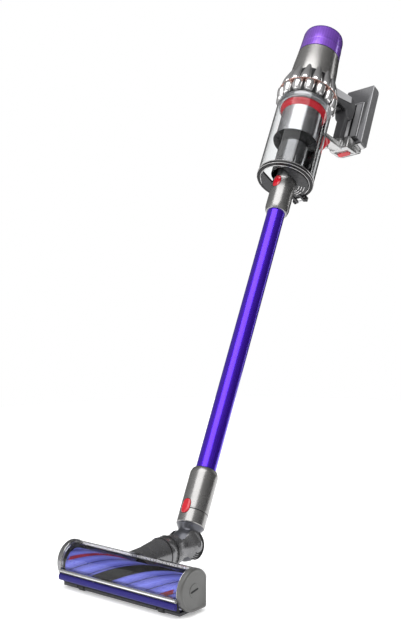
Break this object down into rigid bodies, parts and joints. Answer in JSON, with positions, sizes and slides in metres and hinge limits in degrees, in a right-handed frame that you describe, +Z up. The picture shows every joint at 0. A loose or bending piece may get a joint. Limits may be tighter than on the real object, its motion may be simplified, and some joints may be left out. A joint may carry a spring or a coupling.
{
  "type": "cordless stick vacuum",
  "caption": "Cordless stick vacuum: motorised floor head on a rolling neck, straight wand, clear dust bin under cyclones and a motor, and a trigger handle with a slide-on battery.",
  "frame": {"origin": "middle of the bottom face of the felt land under the floor head, on the floor", "axes": "+X along the brush bar to the right cap, +Y from the head back towards the neck, +Z up"},
  "size_m": [0.3305, 0.9736, 0.9609],
  "materials": {
    "nickel": "bright metallised",
    "gunmetal": "dark metallised satin",
    "black": "satin",
    "charcoal": "satin",
    "satin_grey": "satin",
    "pale_grey": "satin",
    "bar_violet": "satin metallic",
    "anodised_purple": "polished anodised",
    "purple_plastic": "polished translucent",
    "soft_violet": "satin",
    "clear_plastic": "polished clear",
    "red_plastic": "polished",
    "red_bristle": "fine bristle",
    "carbon_bristle": "fine bristle",
    "felt": "felt",
    "filter_paper": "pleated",
    "copper_gasket": "metallised",
    "perforated_steel": "perforated, polished",
    "pin_steel": "ground",
    "motor_can": "plain",
    "windings": "wound laminations",
    "fan_plastic": "satin",
    "board": "coated",
    "cells": "wrapped cans",
    "duct_rubber": "ribbed"
  },
  "bodies": {
    "head": {"head_housing": "nickel", "head_window": "clear_plastic", "end_cap_left": "gunmetal", "end_cap_right": "satin_grey", "front_lip": "nickel", "bumper_strip": "soft_violet", "sole_plate": "charcoal", "sole_felt": "felt", "brush_motor": "motor_can", "neck_mount": "gunmetal"},
    "brush": {"brush_core": "bar_violet", "carbon_bristles": "carbon_bristle", "red_bristles_first": "red_bristle", "red_bristles_second": "red_bristle"},
    "lock": {"brush_lock": "satin_grey"},
    "left_wheel": {"front_wheel_left": "black"},
    "right_wheel": {"front_wheel_right": "black"},
    "roller": {"rear_roller": "black"},
    "neck": {"neck_fork": "gunmetal", "neck_duct": "duct_rubber", "knuckle_pin": "pin_steel"},
    "stick_base": {"elbow": "gunmetal", "head_connector": "nickel"},
    "head_button": {"head_release_button": "red_plastic"},
    "wand": {"wand_lower_cuff": "nickel", "wand_tube": "anodised_purple", "wand_upper_cuff": "nickel"},
    "wand_button": {"wand_release_button": "red_plastic"},
    "main_body": {"inlet_tube": "charcoal", "dust_collector": "charcoal", "shroud_skirt": "black", "shroud": "perforated_steel", "shroud_ring": "red_plastic", "bin_collar": "satin_grey", "cyclone_drums": "nickel", "cyclone_seal": "copper_gasket", "cyclone_cones": "nickel", "motor_housing": "nickel", "motor_stator": "windings", "control_board": "board", "grip": "charcoal", "grip_panel_left": "pale_grey", "grip_panel_right": "pale_grey", "trigger_pin": "pin_steel", "handle_strut": "nickel", "bin_runner": "charcoal"},
    "bin": {"bin_wall": "clear_plastic", "bin_rim": "black", "door_hinge_pin": "pin_steel"},
    "door": {"bin_door": "charcoal"},
    "filter": {"filter_shell": "purple_plastic", "filter_pleats": "filter_paper"},
    "fan": {"impeller": "fan_plastic", "motor_rotor": "pin_steel"},
    "trigger_lever": {"trigger": "black"},
    "bin_lever": {"bin_release_lever": "red_plastic"},
    "battery": {"battery_case": "satin_grey", "battery_cells": "cells", "battery_foot": "nickel"},
    "battery_button": {"battery_release_button": "red_plastic"}
  },
  "joints": [
    {"name": "brush_spin", "type": "hinge", "parent": "head", "child": "brush", "pos_m": [0, -0.0245, 0.032], "axis": [1, 0, 0], "continuous": true},
    {"name": "brush_lock_turn", "type": "hinge", "parent": "head", "child": "lock", "pos_m": [0.125, -0.0245, 0.037], "axis": [1, 0, 0], "range_deg": [0, 90]},
    {"name": "left_wheel_spin", "type": "hinge", "parent": "head", "child": "left_wheel", "pos_m": [-0.08, -0.0435, 0.0051], "axis": [1, 0, 0], "continuous": true},
    {"name": "right_wheel_spin", "type": "hinge", "parent": "head", "child": "right_wheel", "pos_m": [0.08, -0.0435, 0.0051], "axis": [1, 0, 0], "continuous": true},
    {"name": "roller_spin", "type": "hinge", "parent": "head", "child": "roller", "pos_m": [0, 0.02, 0.0063], "axis": [1, 0, 0], "continuous": true},
    {"name": "neck_roll", "type": "hinge", "parent": "head", "child": "neck", "pos_m": [0, 0.109, 0.051], "axis": [0, 1, 0], "range_deg": [-75, 90]},
    {"name": "neck_pitch", "type": "hinge", "parent": "neck", "child": "stick_base", "pos_m": [0, 0.109, 0.051], "axis": [0.9831, 0, 0.1833], "range_deg": [-53, 36]},
    {"name": "head_button_press", "type": "slide", "parent": "stick_base", "child": "head_button", "axis": [0.1087, 0.8051, -0.5831], "range_m": [0, 0.0015], "stiffness_N_per_m": 400, "springref_m": -0.0015},
    {"name": "wand_pull", "type": "slide", "parent": "stick_base", "child": "wand", "axis": [-0.1475, 0.5931, 0.7915], "range_m": [0, 0.045]},
    {"name": "wand_button_press", "type": "slide", "parent": "wand", "child": "wand_button", "axis": [0.1087, 0.8051, -0.5831], "range_m": [0, 0.0015], "stiffness_N_per_m": 400, "springref_m": -0.0015},
    {"name": "body_pull", "type": "slide", "parent": "wand", "child": "main_body", "axis": [-0.1475, 0.5931, 0.7915], "range_m": [0, 0.038]},
    {"name": "bin_slide", "type": "slide", "parent": "main_body", "child": "bin", "axis": [-0.1475, 0.5931, 0.7915], "range_m": [-0.04, 0]},
    {"name": "bin_door_swing", "type": "hinge", "parent": "bin", "child": "door", "pos_m": [-0.10284, 0.59572, 0.60268], "axis": [0.9831, 0, 0.1833], "range_deg": [0, 95]},
    {"name": "filter_twist", "type": "hinge", "parent": "main_body", "child": "filter", "pos_m": [-0.16082, 0.75553, 0.9137], "axis": [-0.1475, 0.5931, 0.7915], "range_deg": [0, 30]},
    {"name": "fan_spin", "type": "hinge", "parent": "main_body", "child": "fan", "pos_m": [-0.14902, 0.70807, 0.85038], "axis": [-0.1475, 0.5931, 0.7915], "continuous": true},
    {"name": "trigger_pull", "type": "hinge", "parent": "main_body", "child": "trigger_lever", "pos_m": [-0.1412, 0.77104, 0.80844], "axis": [0.9831, 0, 0.1833], "range_deg": [0, 6], "stiffness_Nm_per_rad": 0.25, "springref_deg": -8.59},
    {"name": "bin_lever_press", "type": "slide", "parent": "main_body", "child": "bin_lever", "axis": [0.1475, -0.5931, -0.7915], "range_m": [0, 0.012], "stiffness_N_per_m": 150, "springref_m": -0.004},
    {"name": "battery_slide", "type": "slide", "parent": "main_body", "child": "battery", "axis": [0.1475, -0.5931, -0.7915], "range_m": [0, 0.04]},
    {"name": "battery_button_press", "type": "slide", "parent": "battery", "child": "battery_button", "axis": [-0.1475, 0.5931, 0.7915], "range_m": [0, 0.0015], "stiffness_N_per_m": 400, "springref_m": -0.0015}
  ]
}
